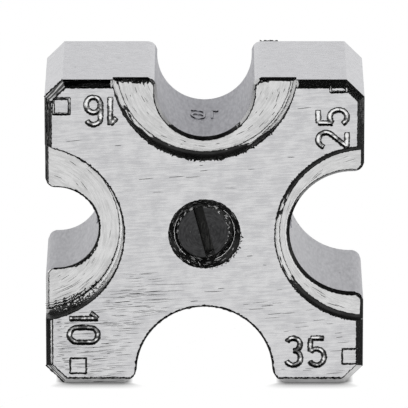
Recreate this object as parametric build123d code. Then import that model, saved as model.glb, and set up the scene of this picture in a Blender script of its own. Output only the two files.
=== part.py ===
from build123d import *
import os
from dataclasses import dataclass
from math import sqrt

# Crimp die insert: a square steel block with one half-round nest in each side, and a spring ball
# plunger screwed through its middle. Millimetres. The origin is where the plunger's axis meets the
# back face, which seats in the tool. +Y points out of that face, +X right and +Z up.

# Block
BLOCK_SIDE = 32.0
BLOCK_THICKNESS = 14.5
CORNER_CHAMFER = 1.8
FRONT_BEVEL = 0.7
BACK_BEVEL = 0.4

# Nests, named for the wire size in square millimetres that they crimp
NEST_10_RADIUS = 4.25
NEST_10_DEPTH = 5.35
NEST_16_RADIUS = 4.8
NEST_16_DEPTH = 6.2
NEST_25_RADIUS = 6.35
NEST_25_DEPTH = 7.45
NEST_35_RADIUS = 6.85
NEST_35_DEPTH = 8.25
MOUTH_BREAK = 0.6
LIGHT_EDGE_BREAK = 0.12
HEAVY_EDGE_BREAK = 0.3

# Steps milled into the front face, which shorten the crimps of the smaller sizes
STEP_CUTTER_RADIUS = 9.25
STEP_FLOOR_FILLET = 0.5
STEP_EDGE_BREAK = 0.3
STEP_10_DEPTH = 2.0
STEP_10_REACH = 7.95
STEP_16_DEPTH = 1.2
STEP_16_REACH = 8.2
STEP_25_DEPTH = 0.55
STEP_25_REACH = 8.95

# Plunger, an M6 threaded sleeve with a slot for the screwdriver; threads are plain cylinders here
THREAD_DIAMETER = 6.0
THREAD_CLEARANCE = 0.05
COUNTERSINK_DIAMETER = 7.2
SLEEVE_RECESS = 0.5
SLEEVE_CHAMFER = 0.32
NOSE_CHAMFER = 0.7
SLOT_WIDTH = 1.0
SLOT_DEPTH = 1.6
SLOT_TURN = -14.5
SLEEVE_END_WALL = 3.0

# Ball and spring inside the sleeve
BALL_DIAMETER = 3.5
BALL_STAND_OUT = 1.0
BALL_CLEARANCE = 0.05
WIRE_DIAMETER = 0.55
WIRE_SIDES = 8
SPRING_PITCH = 1.4
SPRING_SIDE_GAP = 0.15
SPRING_END_GAP = 0.02

# How far cutting solids run past the faces they cut
OVERCUT = 1.0

# Sizes that follow from those above
BACK = 0.0
FRONT = BACK - BLOCK_THICKNESS
HALF_SIDE = BLOCK_SIDE / 2
SLEEVE_RADIUS = THREAD_DIAMETER / 2 - THREAD_CLEARANCE
SLEEVE_FRONT = FRONT + SLEEVE_RECESS
BORE_FLOOR = SLEEVE_FRONT + SLEEVE_END_WALL
BALL_RADIUS = BALL_DIAMETER / 2
BALL_CENTRE = BACK + BALL_STAND_OUT - BALL_RADIUS
BORE_RADIUS = BALL_RADIUS + BALL_CLEARANCE
WIRE_RADIUS = WIRE_DIAMETER / 2
COIL_RADIUS = BORE_RADIUS - SPRING_SIDE_GAP - WIRE_RADIUS


@dataclass
class Nest:
    """One nest and its step. turn is how far it is swung about +Y from the block's bottom side."""

    turn: float
    radius: float
    depth: float
    edge_break: float
    step_depth: float = 0.0
    step_reach: float = 0.0

    @property
    def floor(self):
        return FRONT + self.step_depth


NESTS = [
    Nest(90, NEST_10_RADIUS, NEST_10_DEPTH, LIGHT_EDGE_BREAK, STEP_10_DEPTH, STEP_10_REACH),
    Nest(180, NEST_16_RADIUS, NEST_16_DEPTH, HEAVY_EDGE_BREAK, STEP_16_DEPTH, STEP_16_REACH),
    Nest(-90, NEST_25_RADIUS, NEST_25_DEPTH, HEAVY_EDGE_BREAK, STEP_25_DEPTH, STEP_25_REACH),
    Nest(0, NEST_35_RADIUS, NEST_35_DEPTH, LIGHT_EDGE_BREAK),
]


def along_y(section, start, end):
    """Extrude a section drawn on the XZ plane from y = start to y = end."""
    solid = extrude(Plane.XZ * section, amount=-(end - start))
    return Pos(0, start, 0) * solid


def turned(*points):
    """Revolve a closed outline of (radius, y) points about the plunger's axis."""
    outline = make_face(Polyline(*points, close=True))
    return revolve(outline, axis=Axis.Y)


def blank():
    """The square block with its corners cut off and its front and back rims bevelled."""
    square = Rectangle(BLOCK_SIDE, BLOCK_SIDE)
    solid = along_y(chamfer(square.vertices(), CORNER_CHAMFER), FRONT, BACK)
    solid = chamfer(solid.faces().sort_by(Axis.Y)[0].edges(), FRONT_BEVEL)
    return chamfer(solid.faces().sort_by(Axis.Y)[-1].edges(), BACK_BEVEL)


def nest_section(nest, grow=0.0):
    """Half round at the crown, then straight walls, then a 45 degree break at the mouth.

    grow widens it by that much all round.
    """
    radius = nest.radius + grow
    centre = -HALF_SIDE + nest.depth - nest.radius
    lip = -HALF_SIDE + MOUTH_BREAK + grow * (sqrt(2) - 1)
    foot = -HALF_SIDE - OVERCUT
    neck = sqrt(radius**2 - max(0.0, lip - centre) ** 2)
    toe = neck + lip - foot
    section = Pos(0, centre) * Circle(radius)
    section += make_face(Polyline((neck, lip), (toe, foot), (-toe, foot), (-neck, lip), close=True))
    if centre > lip:
        section += Pos(0, centre) * Rectangle(2 * radius, centre - lip, align=(Align.CENTER, Align.MAX))
    return section


def flare(nest, edge, outside):
    """Cutter that breaks the nest's rim at y = edge, and is clear of the block past outside."""
    size = nest.edge_break
    wide = nest_section(nest, size)
    if outside < edge:
        solid = along_y(wide, outside, edge + size)
        return chamfer(solid.faces().sort_by(Axis.Y)[-1].edges(), size)
    solid = along_y(wide, edge - size, outside)
    return chamfer(solid.faces().sort_by(Axis.Y)[0].edges(), size)


def nest_cutter(nest):
    through = along_y(nest_section(nest), FRONT - OVERCUT, BACK + OVERCUT)
    return through + flare(nest, nest.floor, FRONT - OVERCUT) + flare(nest, BACK, BACK + OVERCUT)


def step_cutter(nest):
    """Bull-nosed milling cut from the front, plus the break along the floor's open edge."""
    centre = -HALF_SIDE + nest.step_reach - STEP_CUTTER_RADIUS
    disc = Pos(0, centre) * Circle(STEP_CUTTER_RADIUS)
    cut = along_y(disc, FRONT - OVERCUT, nest.floor)
    cut = fillet(cut.faces().sort_by(Axis.Y)[-1].edges(), STEP_FLOOR_FILLET)
    wedge = make_face(
        Polyline(
            (nest.floor - OVERCUT, -HALF_SIDE + STEP_EDGE_BREAK + OVERCUT),
            (nest.floor + STEP_EDGE_BREAK + OVERCUT, -HALF_SIDE - OVERCUT),
            (nest.floor - OVERCUT, -HALF_SIDE - OVERCUT),
            close=True,
        )
    )
    bevel = extrude(Plane.YZ * wedge, amount=STEP_CUTTER_RADIUS, both=True)
    return cut + (bevel & along_y(disc, FRONT - OVERCUT, nest.floor + STEP_EDGE_BREAK))


def plunger_hole():
    """The tapped hole, countersunk at both faces."""
    hole_radius = THREAD_DIAMETER / 2
    rim_radius = COUNTERSINK_DIAMETER / 2
    cone = rim_radius - hole_radius
    return turned(
        (0, FRONT - OVERCUT),
        (rim_radius + OVERCUT, FRONT - OVERCUT),
        (hole_radius, FRONT + cone),
        (hole_radius, BACK - cone),
        (rim_radius + OVERCUT, BACK + OVERCUT),
        (0, BACK + OVERCUT),
    )


def die_block():
    solid = blank()
    for nest in NESTS:
        if nest.step_depth:
            solid -= Rot(0, nest.turn, 0) * step_cutter(nest)
    for nest in NESTS:
        solid -= Rot(0, nest.turn, 0) * nest_cutter(nest)
    return solid - plunger_hole()


def plunger_sleeve():
    """Threaded sleeve: slotted at the front, bored from the back, its rim rolled in over the ball."""
    body = turned(
        (0, SLEEVE_FRONT),
        (SLEEVE_RADIUS - SLEEVE_CHAMFER, SLEEVE_FRONT),
        (SLEEVE_RADIUS, SLEEVE_FRONT + SLEEVE_CHAMFER),
        (SLEEVE_RADIUS, BACK - NOSE_CHAMFER),
        (SLEEVE_RADIUS - NOSE_CHAMFER, BACK),
        (0, BACK),
    )
    bore = turned((0, BORE_FLOOR), (BORE_RADIUS, BORE_FLOOR), (BORE_RADIUS, BALL_CENTRE), (0, BALL_CENTRE))
    seat = Pos(0, BALL_CENTRE, 0) * Sphere(BORE_RADIUS)
    slot = Pos(0, SLEEVE_FRONT, 0) * Box(SLOT_WIDTH, 2 * SLOT_DEPTH, THREAD_DIAMETER + OVERCUT)
    return body - bore - seat - Rot(0, SLOT_TURN, 0) * slot


def detent_ball():
    return Pos(0, BALL_CENTRE, 0) * Sphere(BALL_RADIUS)


def plunger_spring():
    """Compression spring with both ends ground flat, from the bore's floor to the ball.

    Its wire is round on the real one, and has WIRE_SIDES flat sides here.
    """
    inner_radius = COIL_RADIUS - WIRE_RADIUS
    start = BORE_FLOOR + SPRING_END_GAP
    end = BALL_CENTRE - sqrt(BALL_RADIUS**2 - inner_radius**2) - SPRING_END_GAP
    line = Helix(SPRING_PITCH, end - start, COIL_RADIUS, center=(0, start, 0), direction=(0, 1, 0))
    wire = Plane(line @ 0, z_dir=line % 0) * RegularPolygon(WIRE_RADIUS, WIRE_SIDES)
    return sweep(wire, path=line, is_frenet=True) & along_y(Circle(BORE_RADIUS), start, end)


PARTS = {
    "die_block": die_block,
    "plunger_sleeve": plunger_sleeve,
    "plunger_spring": plunger_spring,
    "detent_ball": detent_ball,
}

os.makedirs("parts", exist_ok=True)
for name, make in PARTS.items():
    export_step(make(), f"parts/{name}.step")
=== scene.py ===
import math

import bmesh
import bpy
from mathutils import Matrix, Vector


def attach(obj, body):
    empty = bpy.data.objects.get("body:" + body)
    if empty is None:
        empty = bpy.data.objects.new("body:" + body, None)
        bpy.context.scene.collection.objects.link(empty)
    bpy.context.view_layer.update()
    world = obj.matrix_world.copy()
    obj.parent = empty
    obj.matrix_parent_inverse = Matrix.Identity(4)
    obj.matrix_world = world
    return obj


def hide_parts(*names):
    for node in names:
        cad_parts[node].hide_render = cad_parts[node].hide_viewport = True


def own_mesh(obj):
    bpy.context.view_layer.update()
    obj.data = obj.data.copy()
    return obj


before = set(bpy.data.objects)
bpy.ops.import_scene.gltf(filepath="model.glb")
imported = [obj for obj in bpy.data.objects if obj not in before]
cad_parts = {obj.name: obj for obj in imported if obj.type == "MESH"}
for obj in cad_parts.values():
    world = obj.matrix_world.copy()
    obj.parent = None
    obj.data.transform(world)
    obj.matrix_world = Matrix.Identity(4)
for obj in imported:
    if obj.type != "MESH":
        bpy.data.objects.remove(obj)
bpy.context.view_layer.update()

MM = 0.001

# All sizes are in mm, in the CAD model's frame: +X right, +Z up, the front face at FRONT
HALF_SIDE = 16.0
FRONT = -14.5
BACK = 0.0
FLOOR_HEIGHT = -HALF_SIDE

# Nests: wire size, turn about +Y from the bottom side, radius, depth, and the depth of the step round it
NESTS = {
    "10": (90, 4.25, 5.35, 2.0),
    "16": (180, 4.8, 6.2, 1.2),
    "25": (-90, 6.35, 7.45, 0.55),
    "35": (0, 6.85, 8.25, 0.0),
}
STEP_RADIUS = 9.25
STEP_FILLET = 0.5
STEP_REACH = {"10": 7.95, "16": 8.2, "25": 8.95}
STEP_FLOOR = {name: FRONT + step for name, (turn, radius, depth, step) in NESTS.items()}
# How the corners of the nests' mouths are rounded: points (outwards from the wall, up from the side)
MOUTH_ROUNDS = {name: [(-0.05, 1.0), (0.21, 0.4), (0.42, 0.2), (1.0, -0.05)] for name in STEP_REACH}
MOUTH_ROUNDS["35"] = [(-0.05, 1.95), (0.2, 1.2), (0.62, 0.62), (1.25, -0.05)]

# Where the block's finishes meet: the hole's rim, the lower ends of the nests' walls and rims above the
# side, the sides' inner ends, the cut corners (as |x| + |z|) and the open edge of step 10
HOLE_RIM = 3.7
WALL_END = 0.6
RIM_END = 0.8
SIDE_START = 12
CORNER_START = 29
OPEN_EDGE = 15.6

# Pressed numbers with their lower left corners as they are read, as (x, z), and their turns, and the small
# squares beside them with their lower left corners and strokes
STAMP_DEPTH = 0.18
STAMP_ABOVE = 0.08
LAYER_LIFT = 0.003
NUMBER_HEIGHT = 3.4
NUMBER_STROKE = 0.52
NUMBER_GAP = 0.36
NUMBER_PLACES = {"16": ((-8.55, 14.6), 180), "25": ((14.5, 8.84), 90), "10": ((-13.88, -8.12), -90),
                 "35": ((7.95, -14.2), 0)}
SQUARE = 1.6
SQUARE_PLACES = {(-15.1, 12.6): 0.26, (12.6, 14.9): 0.26, (-13.55, -14.8): 0.05, (13.9, -13.8): 0.05}

# Raised numbers on the crowns of the nests
CROWN_HEIGHT = 3.0
CROWN_STROKE = 0.34
CROWN_TOP = 0.2
CROWN_RAISE = 0.1
CROWN_START = -7.3

# Plunger and its hole
SLEEVE_FRONT = -14.0
SLEEVE_RADIUS = 2.95
SLEEVE_CHAMFER = 0.32
NOSE_CHAMFER = 0.7
COUNTERSINK = 0.6
SLOT_WIDTH = 1.0
SLOT_DEPTH = 1.6
SLOT_TURN = -14.5
BORE_RADIUS = 1.8
BORE_FLOOR = -11.0
BALL_CENTRE = -0.75
SPRING_START = -10.98
SPRING_LENGTH = 8.85
SPRING_TURNS = 7.5
COIL_RADIUS = 1.375
WIRE_RADIUS = 0.275

# M6 thread: root and crest radius, the radius half way up the flanks, and half the length. Its middle is a
# whole number of pitches from the origin, so screw and hole stay in step, with a little play between them
PITCH = 1.0
FLANK_SLOPE = 1.732
THREAD_MIDDLE = -7.0
TAP_THREAD = (2.5, 2.97, 2.725, 9)
SLEEVE_THREAD = (2.387, SLEEVE_RADIUS, 2.655, 8)
PLUG_RADIUS = 3.03
DISH = 0.63


def hex_colour(code):
    """sRGB hex code to linear RGBA."""
    channels = [int(code[i:i + 2], 16) / 255 for i in (1, 3, 5)]
    return tuple(c / 12.92 if c <= 0.04045 else ((c + 0.055) / 1.055) ** 2.4 for c in channels) + (1.0,)


def add(tree, kind, inputs=None, **settings):
    """Add a node. inputs gives its sockets, by name or number, a value, or what to link: one or a list."""
    node = tree.nodes.new(kind)
    for name, value in settings.items():
        setattr(node, name, value)
    for key, value in (inputs or {}).items():
        for item in value if isinstance(value, list) else [value]:
            if isinstance(item, bpy.types.Node):
                item = item.outputs[0]
            if isinstance(item, bpy.types.NodeSocket):
                tree.links.new(item, node.inputs[key])
            else:
                node.inputs[key].default_value = item
    return node


def maths(tree, operation, *values):
    """Add a math node for these values."""
    return add(tree, "ShaderNodeMath", dict(enumerate(values)), operation=operation)


def vector_maths(tree, operation, *values, **named):
    """Add a vector math node for these values."""
    return add(tree, "ShaderNodeVectorMath", {**dict(enumerate(values)), **named}, operation=operation)


def mapped(tree, *values):
    """Add a node that maps a value from one range to another, which is 0 to 1 if not given."""
    return add(tree, "ShaderNodeMapRange", dict(enumerate(values)))


def random_vector(tree, least, most, seed=0):
    """Add a node that gives each point or instance a vector of its own."""
    return add(tree, "FunctionNodeRandomValue", {0: least, 1: most, "Seed": seed}, data_type="FLOAT_VECTOR")


def new_object(name, mesh):
    made = bpy.data.objects.new(name, mesh)
    bpy.context.scene.collection.objects.link(made)
    return made


def evaluated_mesh(maker):
    """The object's mesh with its modifiers applied; the object itself is removed."""
    graph = bpy.context.evaluated_depsgraph_get()
    mesh = bpy.data.meshes.new_from_object(maker.evaluated_get(graph))
    bpy.data.objects.remove(maker)
    return mesh


def new_tree(name, floats=(), ints=()):
    """An empty geometry tree with a geometry input and output and these named inputs."""
    tree = bpy.data.node_groups.new(name, "GeometryNodeTree")
    tree.interface.new_socket("Geometry", in_out="OUTPUT", socket_type="NodeSocketGeometry")
    tree.interface.new_socket("Geometry", in_out="INPUT", socket_type="NodeSocketGeometry")
    for kind, names in (("NodeSocketFloat", floats), ("NodeSocketInt", ints)):
        for socket in names:
            tree.interface.new_socket(socket, in_out="INPUT", socket_type=kind)
    return tree, add(tree, "NodeGroupInput").outputs


def finish_tree(tree, geometry, material):
    """Every tree ends in Realize Instances and Set Material."""
    real = add(tree, "GeometryNodeRealizeInstances", {0: geometry})
    painted = add(tree, "GeometryNodeSetMaterial", {0: real, "Material": material})
    add(tree, "NodeGroupOutput", {0: painted})
    return tree


def run_tree(name, tree, start=None, **sizes):
    """Run a geometry tree with these named inputs on a mesh or curve, and keep its result as a mesh."""
    maker = new_object(name + "_maker", start or bpy.data.meshes.new(name))
    modifier = maker.modifiers.new("nodes", "NODES")
    modifier.node_group = tree
    for item in tree.interface.items_tree:
        if item.in_out == "INPUT" and item.name in sizes:
            modifier[item.identifier] = sizes[item.name]
    mesh = evaluated_mesh(maker)
    mesh.name = name
    return mesh


def boolean(mesh, cutter, operation):
    """Join or cut a closed mesh with another, whose material its faces keep; both are used up."""
    tool = new_object("tool", cutter)
    maker = new_object("worked", mesh)
    modifier = maker.modifiers.new(operation, "BOOLEAN")
    modifier.operation = operation
    modifier.solver = "EXACT"
    modifier.material_mode = "TRANSFER"
    modifier.object = tool
    result = evaluated_mesh(maker)
    bpy.data.objects.remove(tool)
    return result


def mesh_of(work, name, material=None):
    """A new mesh of what was worked on, which is used up."""
    mesh = bpy.data.meshes.new(name)
    work.to_mesh(mesh)
    work.free()
    if material:
        mesh.materials.append(material)
    return mesh


def tidied(mesh, gap=0.0005 * MM):
    """Merge doubled points and turn every face outwards."""
    work = bmesh.new()
    work.from_mesh(mesh)
    bmesh.ops.remove_doubles(work, verts=work.verts, dist=gap)
    bmesh.ops.dissolve_degenerate(work, edges=work.edges, dist=gap)
    bmesh.ops.recalc_face_normals(work, faces=work.faces)
    work.to_mesh(mesh)
    work.free()
    return mesh


def joined(name, meshes):
    """One mesh from several of one material, the last that their trees gave them."""
    work = bmesh.new()
    for mesh in meshes:
        work.from_mesh(mesh)
    for face in work.faces:
        face.material_index = 0
    return mesh_of(work, name, meshes[0].materials[-1])


def smooth(mesh, degrees=30):
    """Shade smooth, with an edge kept sharp where it turns more than this or the finish changes."""
    mesh.shade_smooth()
    mesh.set_sharp_from_angle(angle=math.radians(degrees))
    work = bmesh.new()
    work.from_mesh(mesh)
    for edge in work.edges:
        if len({face.material_index for face in edge.link_faces}) > 1:
            edge.smooth = False
    work.to_mesh(mesh)
    work.free()
    return mesh


def lathe(name, outline, material):
    """Closed solid turned about the plunger's axis from (radius, y) points, which end on the axis."""
    work = bmesh.new()
    points = [work.verts.new((radius * MM, y * MM, 0)) for radius, y in outline]
    edges = [work.edges.new(pair) for pair in zip(points, points[1:])]
    bmesh.ops.spin(work, geom=points + edges, axis=(0, 1, 0), cent=(0, 0, 0),
                   angle=2 * math.pi, steps=96, use_merge=True)
    return tidied(mesh_of(work, name, material))


def swing(name):
    """Turns the bottom nest's place to this nest's."""
    return Matrix.Rotation(math.radians(NESTS[name][0]), 4, "Y")


def step_centre(name):
    """Height of a step's centre when its nest is turned to the bottom."""
    return -HALF_SIDE + STEP_REACH[name] - STEP_RADIUS


def facing_front(x, z, y=FRONT, turn=0):
    """Puts a flat drawing on the front, its origin at (x, y, z), turned as seen from the front."""
    place = Matrix.Translation(Vector((x, y, z)) * MM)
    return place @ Matrix.Rotation(math.radians(90), 4, "X") @ Matrix.Rotation(math.radians(turn), 4, "Z")


def along_axis(y):
    """Puts a thing that was made along Z on the plunger's axis, its origin at y."""
    return Matrix.Translation((0, y * MM, 0)) @ Matrix.Rotation(math.radians(-90), 4, "X")


# Materials

def principled(name, colour, roughness, metallic=1.0):
    """A material, its node tree, its shader and its place on the piece in mm."""
    material = bpy.data.materials.new(name)
    material.use_nodes = True
    tree = material.node_tree
    shader = tree.nodes["Principled BSDF"]
    shader.inputs["Base Color"].default_value = hex_colour(colour)
    shader.inputs["Roughness"].default_value = roughness
    shader.inputs["Metallic"].default_value = metallic
    metres = add(tree, "ShaderNodeTexCoord").outputs["Object"]
    place = vector_maths(tree, "SCALE", metres, Scale=1 / MM)
    return material, tree, shader, place


def tooled(name, light, dark, mark, roughness, grain, scratch, edge, lean=(0, 0, 0), around=None, turn=0,
           depth=0.01, metallic=1.0):
    """Metal with a cloudy grain of fine lines and stronger marks, both from stretched noise.

    grain and scratch are the lines per mm along X, Y and Z. With around = (turn, centre) they are the
    lines round, along and out from a step's centre. Marks are where the noise is over edge, and lean is
    what it gains per mm.
    """
    material, tree, shader, place = principled(name, light, roughness, metallic)
    where = add(tree, "ShaderNodeMapping", {"Vector": place, "Rotation": (0, math.radians(turn), 0)})
    if around:
        where.inputs["Rotation"].default_value = (0, math.radians(-around[0]), 0)
        where.inputs["Location"].default_value = (0, 0, -around[1])
        parts = add(tree, "ShaderNodeSeparateXYZ", {0: where}).outputs
        angle = maths(tree, "ARCTAN2", parts["X"], parts["Z"])
        # The lines per mm round the centre are right 8 mm out
        run = maths(tree, "MULTIPLY", angle, 8.0)
        flat = add(tree, "ShaderNodeCombineXYZ", {"X": parts["X"], "Z": parts["Z"]})
        out = vector_maths(tree, "LENGTH", flat).outputs["Value"]
        where = add(tree, "ShaderNodeCombineXYZ", {"X": run, "Y": parts["Y"], "Z": out})
    lines = vector_maths(tree, "MULTIPLY", where, grain)
    fine = add(tree, "ShaderNodeTexNoise", {"Vector": lines, "Scale": 1.0, "Detail": 3.0, "Roughness": 0.6})
    cloud = add(tree, "ShaderNodeTexNoise", {"Vector": place, "Scale": 0.7, "Detail": 3.0, "Roughness": 0.6})
    uneven = maths(tree, "MULTIPLY_ADD", cloud, 0.8, fine)
    # The marks' noise is read far from the grain's
    streaks = vector_maths(tree, "MULTIPLY_ADD", where, scratch, (31, 17, 5))
    coarse = add(tree, "ShaderNodeTexNoise", {
        "Vector": streaks, "Scale": 1.0, "Detail": 2.0, "Roughness": 0.5,
    })
    leaning = vector_maths(tree, "DOT_PRODUCT", place, lean)
    level = maths(tree, "ADD", coarse, leaning.outputs["Value"])
    marked = mapped(tree, level, edge, edge + 0.03)
    toned = mapped(tree, uneven, 0.75, 1.05)
    shade = add(tree, "ShaderNodeMix", {
        0: toned, 6: hex_colour(dark), 7: hex_colour(light),
    }, data_type="RGBA").outputs[2]
    colour = add(tree, "ShaderNodeMix", {0: marked, 6: shade, 7: hex_colour(mark)}, data_type="RGBA")
    gloss = mapped(tree, fine, 0.3, 0.7, roughness + 0.06, roughness - 0.06)
    cut = maths(tree, "MULTIPLY_ADD", marked, -1.0, toned)
    relief = add(tree, "ShaderNodeBump", {"Height": cut, "Strength": 0.4, "Distance": depth * MM})
    tree.links.new(colour.outputs[2], shader.inputs["Base Color"])
    tree.links.new(gloss.outputs[0], shader.inputs["Roughness"])
    tree.links.new(relief.outputs[0], shader.inputs["Normal"])
    return material


# Tool steel, surface ground along X, then nickel plated: bright and even, with a faint cloudy grain and
# dark scratches that rise a little to the right and are thickest at the lower left. Scratches 0.06 mm wide
ground_steel = tooled("ground_nickel_plated_steel", "#D8D8D9", "#C6C6C8", "#3E3E3E", 0.25,
                      (0.7, 1, 9), (0.25, 1, 16), 0.86, lean=(-0.006, 0, -0.007), turn=3, depth=0.003)
# The same steel, end milled round each nest: brighter, with arcs of short dark cutter marks
milled_steel = {
    name: tooled(f"milled_nickel_plated_steel_{name}", "#DADADA", "#C6C6C6", "#303030", 0.22,
                 (0.7, 1, 8), (0.4, 1, 14), 0.76, around=(NESTS[name][0], step_centre(name)), depth=0.003)
    for name in STEP_REACH}
# The side of the cutter leaves a rough wall, painted near black as shade with mottled grey, and painted
# bright as a highlight from the line that lean gives onwards
wall_shade_and_highlight_steel = {
    name: tooled(f"rough_milled_steel_shade_and_highlight_{name}", light, "#0C0C0C", "#EAEAEA", 0.4,
                 grain, grain, edge, lean=lean, metallic=0.3)
    for name, light, grain, edge, lean in (("10", "#343434", (4.5, 9, 4.5), -2.634, (0, 0.2, 0.086)),
                                           ("16", "#202020", (0.8, 8, 0.8), -12.69, (0.02, 1.08, 0.12)),
                                           ("25", "#202020", (0.8, 8, 0.8), -15.16, (-0.2, 1.0, -0.028)))}
# Reamed and honed nests: satin grey, which blurs what it reflects. The one at the top, nest 16, is painted
# darker as shade
satin_and_shaded_steel = {
    name: tooled(f"honed_nickel_plated_steel_{name}", light, dark, "#7C7C80", 0.4,
                 (4, 1.0, 4), (1.5, 1.5, 1.5), 0.74, depth=0.003)
    for name, light, dark in (("10", "#AFAFB3", "#A9A9AD"), ("16", "#9E9EA4", "#97979D"),
                              ("25", "#B2B2B6", "#ACACB0"), ("35", "#AFAFB3", "#A9A9AD"))}
# Sides and back, fine ground along the block's edges: smooth light grey with faint lines 0.2 mm apart
side_steel = tooled("fine_ground_nickel_plated_steel", "#C8C8CB", "#C3C3C6", "#77777A", 0.3,
                    (1.2, 5, 1.2), (2.5, 3.5, 2.5), 0.74, depth=0.0015)
# Bevels and cut corners, filed by hand after grinding: glossy, with dark file strokes, most at the left.
# Their share grows to the left, and on the bevels to the top, as painted shade
filed_and_shaded_bevel_steel, filed_and_shaded_corner_steel = [
    tooled(name, "#CACACA", "#B4B4B4", "#4C4C4C", 0.14, (0.5, 7, 0.5), (0.4, 7, 0.4), 0.63, lean=lean)
    for name, lean in (("filed_and_shaded_nickel_plated_steel", (-0.006, 0, 0.004)),
                       ("filed_nickel_plated_steel_corners", (-0.012, 0, 0)))]
# The broken rims of the nests: painted near black as shade, at the crown, and painted bright as a highlight
# past the line that lean gives
rim_shade_and_highlight_steel = {
    name: tooled(f"worn_nickel_plated_steel_{name}", "#2C2C2C", "#141414", "#C0C0C0", 0.35,
                 (3, 3, 3), (2, 2, 2), edge, lean=lean, metallic=0.6)
    for name, edge, lean in (("10", 0.7, (0, 0, 0)), ("16", 7.16, (0, 0, 0.6)),
                             ("25", 0.78, (0, 0, 0.08)), ("35", 0.7, (0, 0, 0)))}
# Threads and countersink of the hole: painted dark as shade in the hole, with light arcs on the countersink
# that are partly rubbed marks and partly painted highlights
hole_shade_steel = tooled("shaded_tapped_steel", "#1E1E1E", "#0E0E0E", "#A0A0A0", 0.3,
                     (0.4, 3, 7), (0.7, 3, 9), 0.62, around=(0, 0), metallic=0.5)
# Fine burrs that the tools turned up, near black; the same dark beads also stand as painted shade along edges
# and in the creases at the feet of walls
burr_and_edge_shade_steel = tooled("torn_steel_burr_and_edge_shade", "#2E2E2E", "#121212", "#8A8A8A", 0.4,
                    (6, 6, 6), (3, 3, 3), 0.72)
# Edges rubbed bright, most of them by the tool's jaw; these bright beads and faces are also painted
# highlights along edges
worn_and_highlight_edge_steel = tooled("rubbed_and_highlight_nickel_plated_steel", "#FAFAFA", "#EFEFEF", "#A0A0A0", 0.25,
                         (3, 3, 3), (3, 3, 3), 0.8, metallic=0.5)
# Turned steel with a black oxide finish: matte, near black, with faint rings from the lathe
black_oxide = tooled("black_oxide_steel", "#444445", "#303031", "#6A6A6A", 0.5,
                     (0.4, 3, 6), (0.6, 3, 6), 0.7, around=(0, 0), metallic=0.8)
# The oxide is rubbed through along the sleeve's chamfer, with the chamfer's edge highlights painted in:
# broken bright arcs
rubbed_and_highlight_oxide = tooled("rubbed_and_highlight_black_oxide_steel", "#343434", "#121212", "#D8D8D8", 0.45,
                      (0.4, 3, 6), (0.9, 2, 8), 0.58, around=(110, 0), metallic=0.4)
# The slot's floor and sides are painted dark as shade, darkest towards the top
slot_shade_oxide = tooled("shaded_slot_black_oxide_steel", "#20201F", "#0C0C0B", "#383836", 0.45,
                    (5, 2, 1), (6, 2, 1), 0.55, lean=(0, 0, -0.08), metallic=0.5)
# Drawn spring wire, lightly oiled: grey, with faint lines along the wire
drawn_wire = tooled("drawn_spring_wire", "#A2A2A0", "#868684", "#5A5A58", 0.3,
                    (4, 9, 4), (2, 5, 2), 0.7)
# Lapped bearing ball: a mirror with barely visible haze
ball_steel = tooled("lapped_bearing_steel", "#DCDCDC", "#D2D2D2", "#B8B8B8", 0.08,
                    (2, 2, 2), (5, 5, 5), 0.72, depth=0.001)


def pressed(name):
    """Steel under a punch: steep sides, darker than the bottom and painted black as shade where they face up,
    and a flat bottom, dull here and painted white as a highlight there.

    The painted highlights are most frequent in the upper numbers.
    """
    material, tree, shader, place = principled(name, "#C6C6C6", 0.25, 0.6)
    deep = add(tree, "ShaderNodeSeparateXYZ", {0: place}).outputs["Y"]
    fleck = add(tree, "ShaderNodeTexNoise", {"Vector": place, "Scale": 2.2, "Detail": 2.0})
    uneven = maths(tree, "MULTIPLY_ADD", fleck, 0.8, deep)
    leaning = vector_maths(tree, "DOT_PRODUCT", place, (0.001, 0, 0.0042))
    level = maths(tree, "ADD", uneven, leaning.outputs["Value"])
    bottom = mapped(tree, level, FRONT + 0.46, FRONT + 0.55)
    glint = mapped(tree, level, FRONT + 0.56, FRONT + 0.6)
    facing = add(tree, "ShaderNodeTexCoord").outputs["Normal"]
    upward = add(tree, "ShaderNodeSeparateXYZ", {0: facing}).outputs["Z"]
    up_facing_shade = mapped(tree, upward, 0.15, 0.5)
    shade = hex_colour("#505050")
    for part, tone in ((bottom, "#A8A8A8"), (glint, "#FFFFFF"), (up_facing_shade, "#101010")):
        mixed = add(tree, "ShaderNodeMix", {0: part, 6: shade, 7: hex_colour(tone)}, data_type="RGBA")
        shade = mixed.outputs[2]
    tree.links.new(shade, shader.inputs["Base Color"])
    return material


stamped_steel = pressed("stamped_nickel_plated_steel")


# The block

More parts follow.
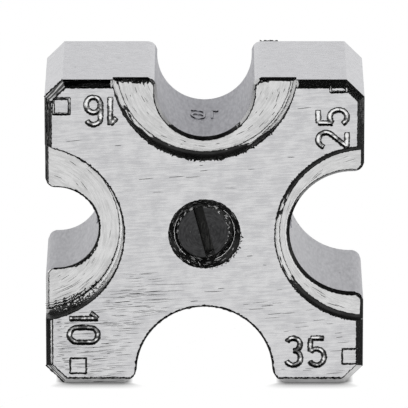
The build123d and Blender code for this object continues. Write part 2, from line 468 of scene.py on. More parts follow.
def finish_of(point, normal):
    """The finish of a face of the block, by where it lies and the way it faces."""
    if math.hypot(point.x, point.z) < HOLE_RIM and abs(normal.y) < 0.99:
        return hole_shade_steel
    upright = abs(normal.y) < 0.1
    for name, (turn, radius, depth, step) in NESTS.items():
        local = swing(name).inverted() @ point
        facing = swing(name).inverted() @ normal
        centre = -HALF_SIDE + depth - radius
        off_wall = math.hypot(local.x, max(0.0, local.z - centre)) - radius
        if upright and abs(off_wall) < 0.05 and local.z > -HALF_SIDE + WALL_END:
            return satin_and_shaded_steel[name]
        curve = MOUTH_ROUNDS[name]
        mouth = local.z < -HALF_SIDE + curve[0][1] and abs(local.x) < radius + curve[-1][0]
        if mouth and upright and abs(facing.z) < (0.5 if name == "16" else 0.95):
            return satin_and_shaded_steel[name]
        if 0.2 < abs(normal.y) < 0.95 and abs(off_wall) < 0.4 and local.z > -HALF_SIDE + RIM_END:
            return rim_shade_and_highlight_steel[name]
        if not step:
            continue
        floor = STEP_FLOOR[name]
        off_step = math.hypot(local.x, local.z - step_centre(name)) - STEP_RADIUS
        if FRONT + 0.001 < point.y < floor - 0.001 and -STEP_FILLET - 0.05 < off_step < 0.05:
            return wall_shade_and_highlight_steel[name]
        if normal.y < -0.99 and abs(point.y - floor) < 0.02:
            return milled_steel[name]
        edge_break = not upright and floor - 0.05 < point.y < floor + 0.5
        # Step 10's open lower edge is painted bright as a highlight
        if name == "10" and edge_break and local.z < -OPEN_EDGE and point.z < 0:
            return worn_and_highlight_edge_steel
    if normal.y < -0.99:
        return ground_steel
    if upright and max(abs(point.x), abs(point.z)) > SIDE_START or normal.y > 0.99:
        return side_steel
    return filed_and_shaded_corner_steel if abs(point.x) + abs(point.z) > CORNER_START else filed_and_shaded_bevel_steel


def cad_copy(node):
    """A merged copy of a CAD node's mesh, with no materials."""
    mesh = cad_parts[node].data.copy()
    mesh.materials.clear()
    normals = mesh.attributes.get("custom_normal")
    if normals:
        mesh.attributes.remove(normals)
    return tidied(mesh)


def mouth_cutters():
    """Bars that round off both corners of each nest's mouth, as deburring does."""
    work = bmesh.new()
    for name, (turn, radius, depth, step) in NESTS.items():
        curve = MOUTH_ROUNDS[name]
        outline = [*curve, (curve[-1][0], -0.3), (-0.5, -0.3), (-0.5, curve[0][1])]
        for side in (1, -1):
            section = [(side * (radius + across), -HALF_SIDE + up) for across, up in outline]
            one, two = [[work.verts.new(swing(name) @ Vector((x, y, z)) * MM) for x, z in section]
                        for y in (FRONT - 0.5, BACK + 0.5)]
            work.faces.new(one)
            work.faces.new(two)
            for i in range(len(outline)):
                work.faces.new((one[i - 1], one[i], two[i], two[i - 1]))
    bmesh.ops.recalc_face_normals(work, faces=work.faces)
    return mesh_of(work, "mouth_cutters")


FINISHES = [ground_steel, *milled_steel.values(), *wall_shade_and_highlight_steel.values(), *satin_and_shaded_steel.values(),
            *rim_shade_and_highlight_steel.values(), side_steel, filed_and_shaded_bevel_steel, filed_and_shaded_corner_steel, worn_and_highlight_edge_steel, hole_shade_steel]
block = tidied(boolean(cad_copy("die_block"), mouth_cutters(), "DIFFERENCE"))
block.materials.clear()
for finish in FINISHES:
    block.materials.append(finish)
for face in block.polygons:
    face.material_index = FINISHES.index(finish_of(face.center / MM, face.normal))


# Numbers: each digit's width and strokes, in a box one high. Strokes that touch are cut one after another

def arc(x, y, across, up, start, end):
    """Points on an ellipse from start to end, in degrees."""
    steps = max(4, round(abs(end - start) / 15))
    turns = [math.radians(start + (end - start) * i / steps) for i in range(steps + 1)]
    return [(x + across * math.cos(t), y + up * math.sin(t)) for t in turns]


DIGITS = {
    "0": (0.54, arc(0.27, 0.73, 0.27, 0.27, 0, 180) + arc(0.27, 0.27, 0.27, 0.27, 180, 360)
          + [(0.54, 0.73)]),
    "1": (0.24, [(0.21, 0), (0.21, 1)], [(0.21, 0.99), (0.0, 0.74)]),
    "2": (0.54, arc(0.27, 0.73, 0.27, 0.27, 165, -35) + [(0.04, 0.02)], [(0, 0), (0.54, 0)]),
    "3": (0.52, arc(0.26, 0.76, 0.24, 0.24, 155, -90), arc(0.26, 0.27, 0.26, 0.27, 90, -155)),
    "5": (0.5, [(0.5, 1), (0.04, 1)], arc(0.25, 0.3, 0.27, 0.3, 140, -150), [(0.04, 1), (0.03, 0.5)]),
    "6": (0.5, arc(0.25, 0.28, 0.25, 0.28, 0, 360), [(0, 0.28)] + arc(0.25, 0.74, 0.25, 0.26, 180, 25)),
}
LAYERS = 3


def number_strokes(text, height, stroke, layer):
    """One stroke of each digit of a number whose outer box starts at the origin, and the box's width."""
    scale, start, lines = height - stroke, 0.0, []
    for digit in text:
        width, *strokes = DIGITS[digit]
        lines += [[(start + stroke / 2 + x * scale, stroke / 2 + y * scale) for x, y in line]
                  for line in strokes[layer:layer + 1]]
        start += width * scale + stroke + NUMBER_GAP
    return lines, start - NUMBER_GAP


def strokes_curve(name, lines):
    """A curve's data with one straight-run spline for each line of points."""
    curve = bpy.data.curves.new(name, "CURVE")
    curve.dimensions = "3D"
    for line in lines:
        spline = curve.splines.new("POLY")
        closed = (Vector(line[0]) - Vector(line[-1])).length < 1e-4
        points = line[:-1] if closed else line
        spline.points.add(len(points) - 1)
        for point, (x, y) in zip(spline.points, points):
            point.co = (x * MM, y * MM, 0, 1)
        spline.use_cyclic_u = closed
    return curve


def stroke_tree(material):
    """Sweeps a trapezoid along each stroke. Top is its width at +Z, out of the page."""
    tree, given = new_tree("stroke", ("Top", "Bottom", "Height"))
    profile = add(tree, "GeometryNodeCurvePrimitiveQuadrilateral", {
        "Height": given["Height"], "Bottom Width": given["Top"], "Top Width": given["Bottom"], "Offset": 0.0,
    }, mode="TRAPEZOID")
    upright = add(tree, "GeometryNodeSetCurveNormal", {0: given["Geometry"]}, mode="Z_UP")
    swept = add(tree, "GeometryNodeCurveToMesh", {0: upright, 1: profile, "Fill Caps": True})
    return finish_tree(tree, swept, material)


stamp_tree = stroke_tree(stamped_steel)
# The raised numbers on every crown take the top nest's satin, which is painted darker as shade
crown_tree = stroke_tree(satin_and_shaded_steel["16"])


def stamp(lines, origin, turn, width, layer):
    """Cutter for strokes pressed into the front face, as wide as given there, with sides at 45 degrees.

    Each layer is LAYER_LIFT less deep than the one before, so that no two floors coincide.
    """
    mesh = run_tree("stamp", stamp_tree, strokes_curve("stamp", lines), Top=(width + 2 * STAMP_ABOVE) * MM,
                    Bottom=max(0.04, width - 2 * STAMP_DEPTH) * MM, Height=(STAMP_DEPTH + STAMP_ABOVE) * MM)
    middle = FRONT + (STAMP_DEPTH - STAMP_ABOVE) / 2 - LAYER_LIFT * layer
    mesh.transform(facing_front(*origin, y=middle, turn=turn))
    return tidied(mesh)


def stamps(layer):
    """Cutter for one stroke of each digit of the four numbers, with the squares in the first layer."""
    cutters = []
    for text, (origin, turn) in NUMBER_PLACES.items():
        lines, width = number_strokes(text, NUMBER_HEIGHT, NUMBER_STROKE, layer)
        if lines:
            cutters.append(stamp(lines, origin, turn, NUMBER_STROKE, layer))
    if layer == 0:
        corners = [(0, 0), (SQUARE, 0), (SQUARE, SQUARE), (0, SQUARE), (0, 0)]
        cutters += [stamp([corners], origin, 0, stroke, layer) for origin, stroke in SQUARE_PLACES.items()]
    return joined("stamps", cutters)


for layer in range(LAYERS):
    block = boolean(block, stamps(layer), "DIFFERENCE")


def crown_number(text):
    """A nest's raised number, bent round its crown and mirrored, so that the crimp reads right."""
    turn, radius, depth, step = NESTS[text]
    meshes = []
    for layer in range(LAYERS):
        lines, width = number_strokes(text, CROWN_HEIGHT, CROWN_STROKE, layer)
        if lines:
            meshes.append(run_tree("crown", crown_tree, strokes_curve("crown", lines), Top=CROWN_TOP * MM,
                                   Bottom=CROWN_STROKE * MM, Height=2 * CROWN_RAISE * MM))
    mesh = joined("crown", meshes)
    for vertex in mesh.vertices:
        across, along, up = vertex.co / MM
        angle = (across - width / 2) / radius
        near = radius - up
        vertex.co = Vector((near * math.sin(angle), CROWN_START + along,
                            -HALF_SIDE + depth - radius + near * math.cos(angle))) * MM
    mesh.transform(swing(text))
    return mesh


# The tapped hole

def rod_tree(material):
    """A threaded rod along Z: a cylinder whose radius follows the thread."""
    tree, given = new_tree("threaded_rod", ("Length", "Root", "Crest", "Root Phase", "Crest Phase", "Pitch"),
                           ("Around", "Along"))
    rod = add(tree, "GeometryNodeMeshCylinder", {
        "Vertices": given["Around"], "Side Segments": given["Along"], "Radius": 1.0, "Depth": given["Length"],
    })
    place = add(tree, "GeometryNodeInputPosition")
    parts = add(tree, "ShaderNodeSeparateXYZ", {0: place}).outputs
    turn = maths(tree, "ARCTAN2", parts["Y"], parts["X"])
    rise = maths(tree, "DIVIDE", parts["Z"], given["Pitch"])
    wound = maths(tree, "MULTIPLY_ADD", turn, -0.5 / math.pi, rise)
    ridge = maths(tree, "PINGPONG", wound, 0.5)
    radius = mapped(tree, ridge, given["Root Phase"], given["Crest Phase"], given["Root"], given["Crest"])
    spread = add(tree, "ShaderNodeCombineXYZ", {"X": radius, "Y": radius, "Z": 1.0})
    moved = vector_maths(tree, "MULTIPLY", place, spread)
    shaped = add(tree, "GeometryNodeSetPosition", {0: rod, "Position": moved})
    return finish_tree(tree, shaped, material)


def threaded_rod(name, material, root, crest, flank, half_length):
    """A threaded rod on the plunger's axis. Its flanks, at 30 degrees, cross half height at flank."""
    phases = {"Root Phase": 0.25 + (root - flank) / FLANK_SLOPE,
              "Crest Phase": 0.25 + (crest - flank) / FLANK_SLOPE}
    mesh = run_tree(name, rod_tree(material), Length=2 * half_length * MM, Pitch=PITCH * MM, Around=64,
                    Along=16 * 2 * half_length, Root=root * MM, Crest=crest * MM, **phases)
    mesh.transform(along_axis(THREAD_MIDDLE))
    return tidied(mesh)


plug = lathe("plug", [
    (0, FRONT + COUNTERSINK + DISH), (PLUG_RADIUS - DISH, FRONT + COUNTERSINK + DISH),
    (PLUG_RADIUS, FRONT + COUNTERSINK - 0.02), (PLUG_RADIUS, BACK - COUNTERSINK + 0.02),
    (PLUG_RADIUS - DISH, BACK - COUNTERSINK - DISH), (0, BACK - COUNTERSINK - DISH),
], hole_shade_steel)
tap = threaded_rod("tap", hole_shade_steel, *TAP_THREAD)
block = boolean(block, boolean(plug, tap, "DIFFERENCE"), "UNION")
nest_block = new_object("nest_block", smooth(tidied(block)))


# The plunger: a threaded sleeve, bored for its ball and spring and rolled in at the ball's rim

def sleeve_body():
    """The sleeve with its bore, 0.1 mm too wide for its thread."""
    wide = SLEEVE_RADIUS + 0.1
    turns = [math.radians(degrees) for degrees in range(54, -1, -6)]
    seat = [(BORE_RADIUS * math.cos(turn), BORE_RADIUS * math.sin(turn)) for turn in turns]
    return lathe("body", [
        (0, SLEEVE_FRONT), (SLEEVE_RADIUS - SLEEVE_CHAMFER, SLEEVE_FRONT),
        (wide, SLEEVE_FRONT + SLEEVE_CHAMFER + 0.1), (wide, BACK - NOSE_CHAMFER - 0.1),
        (SLEEVE_RADIUS - NOSE_CHAMFER, BACK), (math.sqrt(BORE_RADIUS ** 2 - BALL_CENTRE ** 2), BACK),
        *[(radius, BALL_CENTRE + up) for radius, up in seat if up < -BALL_CENTRE - 0.02],
        (BORE_RADIUS, BORE_FLOOR), (0, BORE_FLOOR),
    ], black_oxide)


def slot_cutter():
    """Bar that cuts the slot for the screwdriver."""
    work = bmesh.new()
    size = Matrix.Diagonal((SLOT_WIDTH * MM, 2 * SLOT_DEPTH * MM, 8 * MM, 1))
    bmesh.ops.create_cube(work, size=1, matrix=size)
    mesh = mesh_of(work, "slot", slot_shade_oxide)
    place = Matrix.Translation((0, SLEEVE_FRONT * MM, 0))
    mesh.transform(place @ Matrix.Rotation(math.radians(SLOT_TURN), 4, "Y"))
    return mesh


sleeve = boolean(threaded_rod("sleeve", black_oxide, *SLEEVE_THREAD), sleeve_body(), "INTERSECT")
sleeve = tidied(boolean(sleeve, slot_cutter(), "DIFFERENCE"))
sleeve.materials.append(rubbed_and_highlight_oxide)
for face in sleeve.polygons:
    if -0.95 < face.normal.y < -0.2 and face.center.y / MM < SLEEVE_FRONT + SLEEVE_CHAMFER:
        face.material_index = len(sleeve.materials) - 1
threaded_sleeve = new_object("threaded_sleeve", smooth(sleeve))


def spring_tree(material):
    """A coil spring along Z whose last turn at each end is wound close and ground flat."""
    tree, given = new_tree("coil_spring", ("Length", "Coil", "Wire", "Turns", "Open Rise"), ("Points",))
    line = add(tree, "GeometryNodeCurvePrimitiveLine", {"Start": (0, 0, 0), "End": (0, 0, 1)})
    even = add(tree, "GeometryNodeResampleCurve", {0: line, "Count": given["Points"]})
    factor = add(tree, "GeometryNodeSplineParameter").outputs["Factor"]
    wound = maths(tree, "MULTIPLY", factor, given["Turns"])
    last = maths(tree, "SUBTRACT", given["Turns"], 1.0)
    close = maths(tree, "MULTIPLY", given["Wire"], 2.0)
    shut = maths(tree, "MULTIPLY", wound, close)
    opened = mapped(tree, wound, 1.0, last, 0.0, given["Open Rise"])
    height = maths(tree, "ADD", shut, opened)
    angle = maths(tree, "MULTIPLY", wound, 2 * math.pi)
    across = maths(tree, "COSINE", angle)
    aside = maths(tree, "SINE", angle)
    circle = add(tree, "ShaderNodeCombineXYZ", {"X": across, "Y": aside})
    ring = vector_maths(tree, "SCALE", circle, Scale=given["Coil"])
    rise = add(tree, "ShaderNodeCombineXYZ", {"Z": height})
    point = vector_maths(tree, "ADD", ring, rise)
    coil = add(tree, "GeometryNodeSetPosition", {0: even, "Position": point})
    profile = add(tree, "GeometryNodeCurvePrimitiveCircle", {"Resolution": 12, "Radius": given["Wire"]})
    wire = add(tree, "GeometryNodeCurveToMesh", {0: coil, 1: profile, "Fill Caps": True})
    # The grinding wheel: nothing stands past the two flat ends
    place = add(tree, "GeometryNodeInputPosition")
    parts = add(tree, "ShaderNodeSeparateXYZ", {0: place}).outputs
    level = add(tree, "ShaderNodeClamp", {0: parts["Z"], "Min": 0.0, "Max": given["Length"]})
    ground = add(tree, "ShaderNodeCombineXYZ", {"X": parts["X"], "Y": parts["Y"], "Z": level})
    flat = add(tree, "GeometryNodeSetPosition", {0: wire, "Position": ground})
    return finish_tree(tree, flat, material)


spring = run_tree("spring", spring_tree(drawn_wire), Length=SPRING_LENGTH * MM, Coil=COIL_RADIUS * MM,
                  Wire=WIRE_RADIUS * MM, Turns=SPRING_TURNS, Points=360,
                  **{"Open Rise": (SPRING_LENGTH - SPRING_TURNS * 2 * WIRE_RADIUS) * MM})
spring.transform(along_axis(SPRING_START))
plunger_coil = new_object("plunger_coil", smooth(tidied(spring), 50))
crowns = joined("crowns", [crown_number(text) for text in NESTS])
crown_numbers = new_object("crown_numbers", smooth(tidied(crowns)))


# What the tools left: marks scattered over a patch of faces, and burrs along its free edges. Some dark beads
# are painted shade, and the bright beads are partly painted highlights

def patch(finish, place, corner=None):
    """The block's faces of one finish, as a flat drawing in the place's own frame.

    With corner = (x, y), only what lies to the left of and below it there.
    """
    work = bmesh.new()
    work.from_mesh(nest_block.data)
    index = nest_block.data.materials.find(finish.name)
    others = [face for face in work.faces if face.material_index != index]
    bmesh.ops.delete(work, geom=others, context="FACES")
    work.transform(place.inverted())
    for axis in range(2 if corner else 0):
        cut = [0, 0, 0]
        cut[axis] = 1
        bmesh.ops.bisect_plane(work, geom=work.verts[:] + work.edges[:] + work.faces[:],
                               plane_co=[corner[axis] * MM * c for c in cut], plane_no=cut, clear_outer=True)
    return mesh_of(work, "patch")


def wire(points):
    """A line of edges through (x, y) or (x, y, z) points."""
    mesh = bpy.data.meshes.new("wire")
    places = [Vector((*point, 0)[:3]) * MM for point in points]
    mesh.from_pydata(places, [(i, i + 1) for i in range(len(points) - 1)], [])
    return mesh


def ring_run(centre, radius, start, end, step=3):
    """Points on a circle round (x, z) from start to end, in degrees."""
    turns = [math.radians(degrees) for degrees in range(start, end + 1, step)]
    return [(centre[0] + radius * math.cos(turn), centre[1] + radius * math.sin(turn)) for turn in turns]


def free_edges(tree):
    """Field of the edges that have fewer than two faces."""
    beside = add(tree, "GeometryNodeInputMeshEdgeNeighbors")
    return add(tree, "FunctionNodeCompare", {2: beside, 3: 2}, data_type="INT", operation="LESS_THAN")


def marks_tree(material):
    """Scatters slivers over a flat patch, that rise a little along X, or go round the origin by Swirl."""
    tree, given = new_tree(
        "tool_marks", ("Density", "Swirl", "Stray", "Length", "Width", "Height", "Margin"), ("Seed",))
    points = add(tree, "GeometryNodeDistributePointsOnFaces", {
        0: given["Geometry"], "Density": given["Density"], "Seed": given["Seed"],
    })
    rim = add(tree, "GeometryNodeSeparateGeometry", {
        0: given["Geometry"], "Selection": free_edges(tree),
    }, domain="EDGE")
    gap = add(tree, "GeometryNodeProximity", {0: rim}, target_element="EDGES").outputs["Distance"]
    near = add(tree, "FunctionNodeCompare", {0: gap, 1: given["Margin"]}, operation="LESS_THAN")
    place = add(tree, "GeometryNodeInputPosition")
    round_it = vector_maths(tree, "CROSS_PRODUCT", (0, 0, 1), place)
    tangent = vector_maths(tree, "NORMALIZE", round_it)
    along = add(tree, "ShaderNodeMix", {0: given["Swirl"], 4: (1, 0.06, 0), 5: tangent}, data_type="VECTOR")
    either = random_vector(tree, (-1, -1, 0), (1, 1, 0))
    stray = vector_maths(tree, "SCALE", either, Scale=given["Stray"])
    aim = vector_maths(tree, "ADD", along.outputs[1], stray)
    kept = add(tree, "GeometryNodeDeleteGeometry", {0: points, "Selection": near}, domain="POINT")
    # A sliver goes too if one of its ends would hang over the patch's rim
    reach = vector_maths(tree, "SCALE", aim, Scale=given["Length"])
    for half in (0.5, -0.5):
        tip = vector_maths(tree, "MULTIPLY_ADD", reach, (half, half, half), place)
        off = add(tree, "GeometryNodeProximity", {
            0: given["Geometry"], "Source Position": tip,
        }, target_element="FACES").outputs["Distance"]
        over = add(tree, "FunctionNodeCompare", {0: off, 1: 0.02 * MM}, operation="GREATER_THAN")
        kept = add(tree, "GeometryNodeDeleteGeometry", {0: kept, "Selection": over}, domain="POINT")
    turned = add(tree, "FunctionNodeAlignRotationToVector", {"Vector": aim}, axis="X")
    size = add(tree, "ShaderNodeCombineXYZ", {
        "X": given["Length"], "Y": given["Width"], "Z": given["Height"],
    })
    vary = random_vector(tree, (0.2, 0.5, 0.8), (1, 1, 1), 3)
    scale = vector_maths(tree, "MULTIPLY", size, vary)
    sliver = add(tree, "GeometryNodeMeshIcoSphere", {"Radius": 0.5, "Subdivisions": 1})
    slivers = add(tree, "GeometryNodeInstanceOnPoints", {
        0: kept, "Instance": sliver, "Rotation": turned, "Scale": scale,
    })
    return finish_tree(tree, slivers, material)


def burrs_tree(material):
    """A fine ragged bead along the free edges of a patch or wire, with torn bits beside it."""
    tree, given = new_tree("edge_burrs", ("Bead", "Waver", "Spacing", "Share", "Bit"), ("Seed",))
    curve = add(tree, "GeometryNodeMeshToCurve", {0: given["Geometry"], "Selection": free_edges(tree)})
    even = add(tree, "GeometryNodeResampleCurve", {0: curve, "Length": given["Spacing"]}, mode="LENGTH")
    vague = random_vector(tree, (-1, -1, 0), (1, 1, 0), given["Seed"])
    offset = vector_maths(tree, "SCALE", vague, Scale=given["Waver"])
    ragged = add(tree, "GeometryNodeSetPosition", {0: even, "Offset": offset})
    thick = add(tree, "FunctionNodeRandomValue", {2: 0.5, 3: 1.2, "Seed": given["Seed"]}).outputs[1]
    profile = add(tree, "GeometryNodeCurvePrimitiveCircle", {"Resolution": 5, "Radius": given["Bead"]})
    bead = add(tree, "GeometryNodeCurveToMesh", {0: ragged, 1: profile, "Scale": thick, "Fill Caps": True})
    some = add(tree, "FunctionNodeRandomValue", {
        "Probability": given["Share"], "Seed": given["Seed"],
    }, data_type="BOOLEAN").outputs[3]
    either = random_vector(tree, (-1, -1, 0), (1, 1, 0), 7)
    turned = add(tree, "FunctionNodeAlignRotationToVector", {"Vector": either}, axis="X")
    vary = random_vector(tree, (0.4, 0.2, 0.15), (1, 0.4, 0.25), 9)
    size = vector_maths(tree, "SCALE", vary, Scale=given["Bit"])
    sliver = add(tree, "GeometryNodeMeshIcoSphere", {"Radius": 0.5, "Subdivisions": 1})
    bits = add(tree, "GeometryNodeInstanceOnPoints", {
        0: ragged, "Selection": some, "Instance": sliver, "Rotation": turned, "Scale": size,
    })
    return finish_tree(tree, add(tree, "GeometryNodeJoinGeometry", {0: [bead, bits]}), material)


scatter = marks_tree(burr_and_edge_shade_steel)
dark_edging = burrs_tree(burr_and_edge_shade_steel)
bright_edging = burrs_tree(worn_and_highlight_edge_steel)


def mark(region, place, seed, density, length, width, stray=0.06, margin=0.3, swirl=0.0):
    """Marks scattered over a region, density to the square mm."""
    mesh = run_tree("marks", scatter, region, Density=density / MM ** 2, Length=length * MM, Width=width * MM,
                    Height=0.02 * MM, Margin=margin * MM, Swirl=swirl, Stray=stray, Seed=seed)
    mesh.transform(place)
    return mesh


def burr(edging, region, place, seed, bead, waver, share=0.0, bit=0.1):
    """A bead along a region's free edges, with torn bits at a share of its points."""
    mesh = run_tree("burrs", edging, region, Bead=bead * MM, Waver=waver * MM, Spacing=0.15 * MM,
                    Share=share, Bit=bit * MM, Seed=seed)
    mesh.transform(place)
    return mesh


# Scratches on the front, left of and below a corner: seed, density, length, width, stray and margin
SCRATCHES = [
    (None, 1, 0.08, 2.2, 0.08, 0.06, 0.5),
    ((-3, -4), 11, 3.0, 2.4, 0.045, 0.05, 0.1),
    ((-13.2, -8.0), 14, 7.0, 1.0, 0.06, 0.05, 0.05),
    ((2, -3), 13, 0.25, 6.0, 0.06, 0.05, 0.1),
    ((16, -7), 12, 0.6, 2.0, 0.06, 0.05, 0.1),
]
# The steps: density and length of the cutter marks on the floor, and half the arc, in degrees, of the sharp
# upper edge that the cutter tore
STEP_MARKS = {"10": (0.35, 1.4, 76), "16": (1.3, 1.1, 76), "25": (1.3, 2.0, 80)}

front_place = facing_front(0, 0)
top_place = Matrix.Translation((0, 0, HALF_SIDE * MM))
marks = [mark(patch(ground_steel, front_place, corner), front_place, *sizes) for corner, *sizes in SCRATCHES]
marks.append(mark(patch(side_steel, top_place), top_place, 3, 0.05, 0.14, 0.12, stray=1.0))
# The dark bead round the front's free edges is partly burr and partly a painted shade line along its edges
burrs = [burr(dark_edging, patch(ground_steel, front_place), front_place, 2, 0.06, 0.03, 0.03, 0.25)]
for name, steel in milled_steel.items():
    density, length, reach = STEP_MARKS[name]
    middle = swing(name) @ Vector((0, 0, step_centre(name)))
    floor_place = facing_front(middle.x, middle.z, y=STEP_FLOOR[name])
    floor = patch(steel, floor_place)
    marks.append(mark(floor, floor_place, 4, density, length, 0.07, stray=0.15, swirl=1.0))
    if name == "10":
        lower = patch(steel, floor_place, (20, -4.5))
        marks.append(mark(lower, floor_place, 15, 3.0, 2.6, 0.055, stray=0.05, margin=0.05, swirl=1.0))
    # The dark bead round the step floor's free edges is partly burr and partly painted shade in the crease at
    # the wall's foot
    burrs.append(burr(dark_edging, floor, floor_place, 5, 0.05, 0.03, 0.02, 0.15))
    inward = 90 - NESTS[name][0]
    edge = wire(ring_run((0, 0), STEP_RADIUS, inward - reach, inward + reach, step=2))
    burrs.append(burr(dark_edging, edge, facing_front(middle.x, middle.z), 6, 0.07, 0.06, 0.12, 0.3))

# Centres of the nests' crowns and of the steps, as (x, z)
CROWN_10, CROWN_16, CROWN_25, CROWN_35 = (-14.9, 0), (0, 14.6), (14.9, 0), (0, -14.6)
STEP_10, STEP_16, STEP_25 = (-17.3, 0), (0, 17.05), (16.3, 0)
HOLE = (0, 0)
# Edges with heavier burrs: their points, their depth, and the burr's bead, waver, share and bits. The dark
# beads are partly burrs and partly painted shade along the edges and in the creases at the feet of walls
RAGGED_EDGES = [
    # Crowns of the nests
    (ring_run(CROWN_35, 6.98, 6, 174), FRONT, 0.12, 0.03, 0.1, 0.35),
    (ring_run(CROWN_10, 4.37, -72, 72), STEP_FLOOR["10"], 0.12, 0.03, 0.1, 0.3),
    (ring_run(CROWN_10, 4.52, -66, -24), STEP_FLOOR["10"], 0.09, 0.05, 0.3, 0.3),
    (ring_run(CROWN_16, 5.1, 183, 357), STEP_FLOOR["16"], 0.07, 0.03, 0.1, 0.25),
    # Upper edges of the steps
    (ring_run(STEP_10, 9.25, 9, 60), FRONT, 0.1, 0.06, 0.3, 0.45),
    (ring_run(STEP_16, 9.25, 222, 318), FRONT, 0.07, 0.08, 0.5, 0.7),
    (ring_run(STEP_25, 9.25, 110, 150), FRONT, 0.07, 0.06, 0.2, 0.5),
    # Front edges of the feet, and where they turn up into nest 35
    ([(-13.9, -15.3), (-7.42, -15.3), (-7.08, -14.85), (-6.93, -14.1)], FRONT, 0.11, 0.03, 0.1, 0.3),
    ([(13.9, -15.3), (7.42, -15.3), (7.08, -14.85), (6.93, -14.1)], FRONT, 0.11, 0.03, 0.1, 0.3),
    # Cut corners at the left
    ([(-15.3, 13.9), (-13.9, 15.3)], FRONT, 0.08, 0.05, 0.3, 0.3),
    ([(-16, 14.2), (-14.2, 16)], FRONT + 0.7, 0.08, 0.05, 0.3, 0.3),
    ([(-15.3, -13.9), (-13.9, -15.3)], FRONT, 0.08, 0.05, 0.3, 0.3),
    ([(-16, -14.2), (-14.2, -16)], FRONT + 0.7, 0.08, 0.05, 0.3, 0.3),
    # Open edge of step 16 at both sides of its nest, and the foot of its wall, where the dark bead is painted
    # shade
    ([(-8.9, 15.6), (-5.7, 15.6)], STEP_FLOOR["16"], 0.08, 0.1, 0.7, 0.9),
    ([(6.5, 15.62), (5.7, 15.6), (5.25, 15.25), (5.05, 14.8)], STEP_FLOOR["16"], 0.09, 0.06, 0.5, 0.5),
    (ring_run(STEP_16, 8.95, -50, -8), FRONT + 1.05, 0.04, 0.03, 0.1, 0.3),
    # Upper edge and foot of step 10's wall, and the torn floor at its lower end. The bead at the foot is
    # painted shade
    (ring_run(STEP_10, 9.22, -40, 12), FRONT, 0.1, 0.03, 0.1, 0.3),
    (ring_run(STEP_10, 8.7, -58, -10), FRONT + 1.95, 0.04, 0.04, 0.1, 0.3),
    (ring_run(STEP_10, 8.65, -81, -42), STEP_FLOOR["10"], 0.07, 0.06, 0.5, 0.5),
    (ring_run(STEP_10, 8.4, -81, -51), STEP_FLOOR["10"], 0.05, 0.06, 0.4, 0.6),
    (ring_run(STEP_10, 8.15, -81, -60), STEP_FLOOR["10"], 0.03, 0.05, 0.3, 0.5),
    # Lower right of the countersink, and the nick in the rear edge
    (ring_run(HOLE, 3.7, -81, 3), FRONT, 0.03, 0.14, 0.5, 0.45),
    ([(5.8, 15.9), (7.4, 15.9)], BACK - 0.1, 0.09, 0.06, 1.0, 0.5),
]
# Edges that are rubbed bright, and partly painted highlights: their points, their depth, and the bead and its
# waver
BRIGHT_EDGES = [
    # Inner edge of the left bevel, crown of nest 25, foot of step 10's wall and ends of the top bevel
    ([(-15.45, -13.8), (-15.45, -9.2)], FRONT + 0.12, 0.07, 0.02),
    (ring_run(CROWN_25, 6.8, 120, 234), STEP_FLOOR["25"], 0.06, 0.02),
    (ring_run(STEP_10, 8.95, -42, 12), FRONT + 1.8, 0.09, 0.02),
    ([(-9.28, 15.35, -0.1), (-9.28, 15.85, -0.6)], FRONT, 0.15, 0.02),
    ([(9.28, 15.35, -0.1), (9.28, 15.85, -0.6)], FRONT, 0.15, 0.02),
    # Inner edge of the countersink, and two scratches across it
    (ring_run(HOLE, 3.04, -69, 51), FRONT + 0.56, 0.025, 0.02),
    (ring_run(HOLE, 3.04, 150, 231), FRONT + 0.56, 0.025, 0.02),
    ([(-1.75, -2.85, -0.25), (-1.5, -3.1, -0.15)], FRONT, 0.04, 0.01),
    ([(-0.6, -3.1, -0.42), (-0.42, -3.4, -0.17)], FRONT, 0.04, 0.01),
]
burrs += [burr(dark_edging, wire(points), facing_front(0, 0, y=depth), 8, *sizes)
          for points, depth, *sizes in RAGGED_EDGES]
rubbed = [burr(bright_edging, wire(points), facing_front(0, 0, y=depth), 8, *sizes)
          for points, depth, *sizes in BRIGHT_EDGES]
worn_and_highlight_edges, tool_marks, edge_burrs = [
    new_object(name, smooth(joined(name, meshes), 60))
    for name, meshes in (("worn_and_highlight_edges", rubbed), ("tool_marks", marks), ("edge_burrs", burrs))]

for piece in (nest_block, crown_numbers, tool_marks, edge_burrs, worn_and_highlight_edges):
    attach(piece, "block")
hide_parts("die_block")
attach(threaded_sleeve, "sleeve")
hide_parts("plunger_sleeve")
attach(plunger_coil, "spring")
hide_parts("plunger_spring")
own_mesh(plunger_coil)
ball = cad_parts["detent_ball"].data
ball.materials.clear()
ball.materials.append(ball_steel)


# Studio

# Half the table's side, the radius of the dome that the cards overhead and at the right lie on, and the
# right floor card's corners, as (x, y)
TABLE_REACH = 3000
DOME_RADIUS = 1100
FLOOR_CARD = [(17, -26), (150, -39), (150, 11), (17, -2)]
# How far the shadow reaches beside the feet, and in front of and behind them, and how far on both sides of
# the block's front and back it changes from one to the other
SIDE_SHADOW = 0.6
FRONT_SHADOW = 1.6
SHADOW_CHANGE = 0.5
CAMERA_DISTANCE = 750
CAMERA_ELEVATION = 17.8
CAMERA_AIM = (-0.05, -7.0, 0.75)
CAMERA_LENS = 653


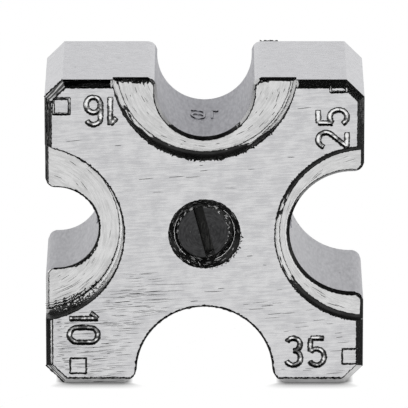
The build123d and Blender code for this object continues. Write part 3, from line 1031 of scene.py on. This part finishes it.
def laminate(name):
    """White laminate table: it glows white where it is seen, and keeps a soft shadow close to the feet."""
    material = bpy.data.materials.new(name)
    material.use_nodes = True
    tree = material.node_tree
    tree.nodes.clear()
    rays = add(tree, "ShaderNodeLightPath").outputs
    glossy = rays["Is Glossy Ray"]
    seen = maths(tree, "MAXIMUM", rays["Is Camera Ray"], glossy)
    shown = maths(tree, "MAXIMUM", seen, rays["Is Transmission Ray"])
    place = add(tree, "ShaderNodeTexCoord").outputs["Object"]
    depth = add(tree, "ShaderNodeSeparateXYZ", {0: place}).outputs["Y"]
    middle = (FRONT + BACK) / 2
    off_middle = maths(tree, "SUBTRACT", depth, middle * MM)
    away = maths(tree, "ABSOLUTE", off_middle)
    reach = mapped(tree, away, (middle - FRONT - SHADOW_CHANGE) * MM, (middle - FRONT + SHADOW_CHANGE) * MM,
                   SIDE_SHADOW * MM, FRONT_SHADOW * MM)
    light = add(tree, "ShaderNodeAmbientOcclusion", {"Distance": reach}, samples=16).outputs["AO"]
    darkest = maths(tree, "MULTIPLY_ADD", glossy, 0.35, 0.07)
    shaded = mapped(tree, light, 0.16, 1.0, darkest)
    glow = add(tree, "ShaderNodeEmission", {"Color": shaded, "Strength": 1.0})
    matte = add(tree, "ShaderNodeBsdfDiffuse", {"Color": hex_colour("#F2F2F2")})
    mixed = add(tree, "ShaderNodeMixShader", {0: shown, 1: matte, 2: glow})
    add(tree, "ShaderNodeOutputMaterial", {0: mixed})
    return material


def card(name, colour):
    """Matte card."""
    material, tree, shader, place = principled(name, colour, 0.9, 0.0)
    shader.inputs["Specular IOR Level"].default_value = 0.0
    return material


def stand(name, points, faces, material):
    """Part of the studio."""
    mesh = bpy.data.meshes.new(name)
    mesh.from_pydata([Vector(point) * MM for point in points], [], faces)
    mesh.materials.append(material)
    made = new_object(name, mesh)
    return made


def flag(name, points, faces, material):
    """A dark card that only reflections see, as a photographer hangs one out of the picture."""
    made = stand(name, points, faces, material)
    made.visible_camera = False
    made.visible_diffuse = False
    made.visible_shadow = False
    made.visible_transmission = False


def dome_flag(name, azimuths, elevations, steps=12):
    """A flag on part of a dome. Azimuth 0 is in front of the object and 90 to its right."""
    points = []
    for j in range(steps + 1):
        up = math.radians(elevations[0] + (elevations[1] - elevations[0]) * j / steps)
        out = math.cos(up)
        for i in range(steps + 1):
            turn = math.radians(azimuths[0] + (azimuths[1] - azimuths[0]) * i / steps)
            points.append(Vector((math.sin(turn) * out, -math.cos(turn) * out, math.sin(up))) * DOME_RADIUS)
    row = steps + 1
    faces = [(j * row + i, j * row + i + 1, (j + 1) * row + i + 1, (j + 1) * row + i)
             for j in range(steps) for i in range(steps)]
    flag(name, points, faces, black_card)


black_card = card("black_card", "#1C1C1C")
grey_card = card("grey_card", "#363636")
table = [(x * TABLE_REACH, y * TABLE_REACH, FLOOR_HEIGHT) for x, y in ((-1, -1), (1, -1), (1, 1), (-1, 1))]
stand("studio_floor", table, [(0, 1, 2, 3)], laminate("white_laminate"))
dome_flag("flag_overhead", (-180, 180), (44, 90), steps=24)
dome_flag("flag_right", (58, 92), (16, 48))
for side, sign in (("left", -1), ("right", 1)):
    corners = [(sign * x, y, FLOOR_HEIGHT + 0.05) for x, y in FLOOR_CARD]
    flag("flag_floor_" + side, corners, [(0, 1, 2, 3)], grey_card)

elevation = math.radians(CAMERA_ELEVATION)
behind = Vector((0, -math.cos(elevation), math.sin(elevation)))
camera = bpy.data.objects.new("camera", bpy.data.cameras.new("camera"))
bpy.context.scene.collection.objects.link(camera)
camera.location = (Vector(CAMERA_AIM) + behind * CAMERA_DISTANCE) * MM
camera.rotation_mode = "QUATERNION"
camera.rotation_quaternion = (-behind).to_track_quat("-Z", "Y")
camera.data.lens = CAMERA_LENS
bpy.context.scene.camera = camera

world = bpy.data.worlds.new("studio")
bpy.context.scene.world = world
world.use_nodes = True
world.node_tree.nodes["Background"].inputs["Color"].default_value = (1, 1, 1, 1)
bpy.context.scene.view_settings.view_transform = "Standard"
